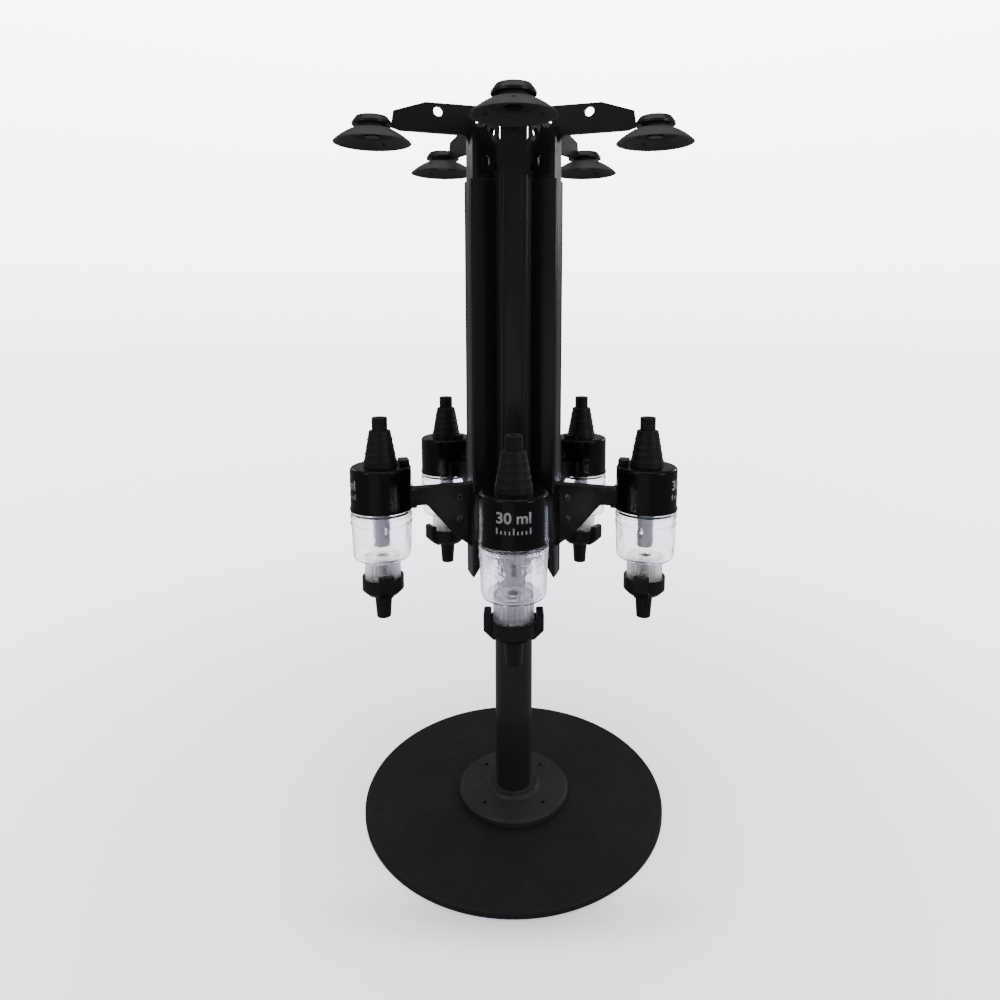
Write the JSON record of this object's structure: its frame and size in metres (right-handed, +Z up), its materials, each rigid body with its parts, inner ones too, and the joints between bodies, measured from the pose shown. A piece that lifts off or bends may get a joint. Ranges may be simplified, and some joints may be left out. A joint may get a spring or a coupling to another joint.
{
  "type": "rotary bottle dispenser",
  "caption": "Free-standing rotary stand that holds upturned bottles over clear spring valve measures, turning on a pole with a round base.",
  "frame": {"origin": "centre of the base's underside, on the axis that the carousel turns on", "axes": "+Z up along the pole; -Y towards the station in front; +X to the right of the picture"},
  "size_m": [0.32, 0.3215, 0.701],
  "materials": {
    "base_pad": "matt",
    "powder_black": "textured",
    "pole_black": "satin",
    "screw_steel": "blackened",
    "collar_steel": "turned",
    "bush_plastic": "matt",
    "column_black": "satin gloss",
    "hub_black": "satin",
    "arm_black": "satin",
    "cup_rubber": "satin",
    "spring_steel": "bright",
    "body_black": "satin gloss",
    "chamber_clear": "clear",
    "tube_grey": "satin",
    "stopper_rubber": "matt",
    "yoke_black": "satin"
  },
  "bodies": {
    "stand": {"base_pad": "base_pad", "base_plate": "powder_black", "base_flange": "powder_black", "flange_screws": "screw_steel", "pole": "pole_black", "thrust_collar": "collar_steel"},
    "carousel": {"guide_bushes": "bush_plastic", "core_tube": "hub_black", "bracket_hub": "hub_black", "upright_front": "column_black", "measure_body_front": "body_black", "measure_chamber_front": "chamber_clear", "metering_tube_front": "tube_grey", "bottle_stopper_front": "stopper_rubber", "valve_spring_front": "spring_steel", "upright_right": "column_black", "measure_body_right": "body_black", "measure_chamber_right": "chamber_clear", "metering_tube_right": "tube_grey", "bottle_stopper_right": "stopper_rubber", "valve_spring_right": "spring_steel", "upright_rear_right": "column_black", "measure_body_rear_right": "body_black", "measure_chamber_rear_right": "chamber_clear", "metering_tube_rear_right": "tube_grey", "bottle_stopper_rear_right": "stopper_rubber", "valve_spring_rear_right": "spring_steel", "upright_rear_left": "column_black", "measure_body_rear_left": "body_black", "measure_chamber_rear_left": "chamber_clear", "metering_tube_rear_left": "tube_grey", "bottle_stopper_rear_left": "stopper_rubber", "valve_spring_rear_left": "spring_steel", "upright_left": "column_black", "measure_body_left": "body_black", "measure_chamber_left": "chamber_clear", "metering_tube_left": "tube_grey", "bottle_stopper_left": "stopper_rubber", "valve_spring_left": "spring_steel"},
    "arm_front": {"bottle_arm_front": "arm_black", "cup_spring_front": "spring_steel"},
    "cup_front": {"bottle_cup_front": "cup_rubber"},
    "yoke_front": {"press_yoke_front": "yoke_black"},
    "arm_right": {"bottle_arm_right": "arm_black", "cup_spring_right": "spring_steel"},
    "cup_right": {"bottle_cup_right": "cup_rubber"},
    "yoke_right": {"press_yoke_right": "yoke_black"},
    "arm_rear_right": {"bottle_arm_rear_right": "arm_black", "cup_spring_rear_right": "spring_steel"},
    "cup_rear_right": {"bottle_cup_rear_right": "cup_rubber"},
    "yoke_rear_right": {"press_yoke_rear_right": "yoke_black"},
    "arm_rear_left": {"bottle_arm_rear_left": "arm_black", "cup_spring_rear_left": "spring_steel"},
    "cup_rear_left": {"bottle_cup_rear_left": "cup_rubber"},
    "yoke_rear_left": {"press_yoke_rear_left": "yoke_black"},
    "arm_left": {"bottle_arm_left": "arm_black", "cup_spring_left": "spring_steel"},
    "cup_left": {"bottle_cup_left": "cup_rubber"},
    "yoke_left": {"press_yoke_left": "yoke_black"}
  },
  "joints": [
    {"name": "carousel_turn", "type": "hinge", "parent": "stand", "child": "carousel", "pos_m": [0, 0, 0.262], "axis": [0, 0, 1], "continuous": true},
    {"name": "arm_height_front", "type": "slide", "parent": "carousel", "child": "arm_front", "axis": [0, 0, 1], "range_m": [0, 0.04]},
    {"name": "cup_press_front", "type": "slide", "parent": "arm_front", "child": "cup_front", "axis": [0, 0, 1], "range_m": [0, 0.003], "stiffness_N_per_m": 1500, "springref_m": -0.002, "deforming": ["cup_spring_front"]},
    {"name": "spout_press_front", "type": "slide", "parent": "carousel", "child": "yoke_front", "axis": [0, 0, 1], "range_m": [0, 0.008], "stiffness_N_per_m": 600, "springref_m": -0.002, "deforming": ["valve_spring_front"]},
    {"name": "arm_height_right", "type": "slide", "parent": "carousel", "child": "arm_right", "axis": [0, 0, 1], "range_m": [0, 0.04]},
    {"name": "cup_press_right", "type": "slide", "parent": "arm_right", "child": "cup_right", "axis": [0, 0, 1], "range_m": [0, 0.003], "stiffness_N_per_m": 1500, "springref_m": -0.002, "deforming": ["cup_spring_right"]},
    {"name": "spout_press_right", "type": "slide", "parent": "carousel", "child": "yoke_right", "axis": [0, 0, 1], "range_m": [0, 0.008], "stiffness_N_per_m": 600, "springref_m": -0.002, "deforming": ["valve_spring_right"]},
    {"name": "arm_height_rear_right", "type": "slide", "parent": "carousel", "child": "arm_rear_right", "axis": [0, 0, 1], "range_m": [0, 0.04]},
    {"name": "cup_press_rear_right", "type": "slide", "parent": "arm_rear_right", "child": "cup_rear_right", "axis": [0, 0, 1], "range_m": [0, 0.003], "stiffness_N_per_m": 1500, "springref_m": -0.002, "deforming": ["cup_spring_rear_right"]},
    {"name": "spout_press_rear_right", "type": "slide", "parent": "carousel", "child": "yoke_rear_right", "axis": [0, 0, 1], "range_m": [0, 0.008], "stiffness_N_per_m": 600, "springref_m": -0.002, "deforming": ["valve_spring_rear_right"]},
    {"name": "arm_height_rear_left", "type": "slide", "parent": "carousel", "child": "arm_rear_left", "axis": [0, 0, 1], "range_m": [0, 0.04]},
    {"name": "cup_press_rear_left", "type": "slide", "parent": "arm_rear_left", "child": "cup_rear_left", "axis": [0, 0, 1], "range_m": [0, 0.003], "stiffness_N_per_m": 1500, "springref_m": -0.002, "deforming": ["cup_spring_rear_left"]},
    {"name": "spout_press_rear_left", "type": "slide", "parent": "carousel", "child": "yoke_rear_left", "axis": [0, 0, 1], "range_m": [0, 0.008], "stiffness_N_per_m": 600, "springref_m": -0.002, "deforming": ["valve_spring_rear_left"]},
    {"name": "arm_height_left", "type": "slide", "parent": "carousel", "child": "arm_left", "axis": [0, 0, 1], "range_m": [0, 0.04]},
    {"name": "cup_press_left", "type": "slide", "parent": "arm_left", "child": "cup_left", "axis": [0, 0, 1], "range_m": [0, 0.003], "stiffness_N_per_m": 1500, "springref_m": -0.002, "deforming": ["cup_spring_left"]},
    {"name": "spout_press_left", "type": "slide", "parent": "carousel", "child": "yoke_left", "axis": [0, 0, 1], "range_m": [0, 0.008], "stiffness_N_per_m": 600, "springref_m": -0.002, "deforming": ["valve_spring_left"]}
  ]
}
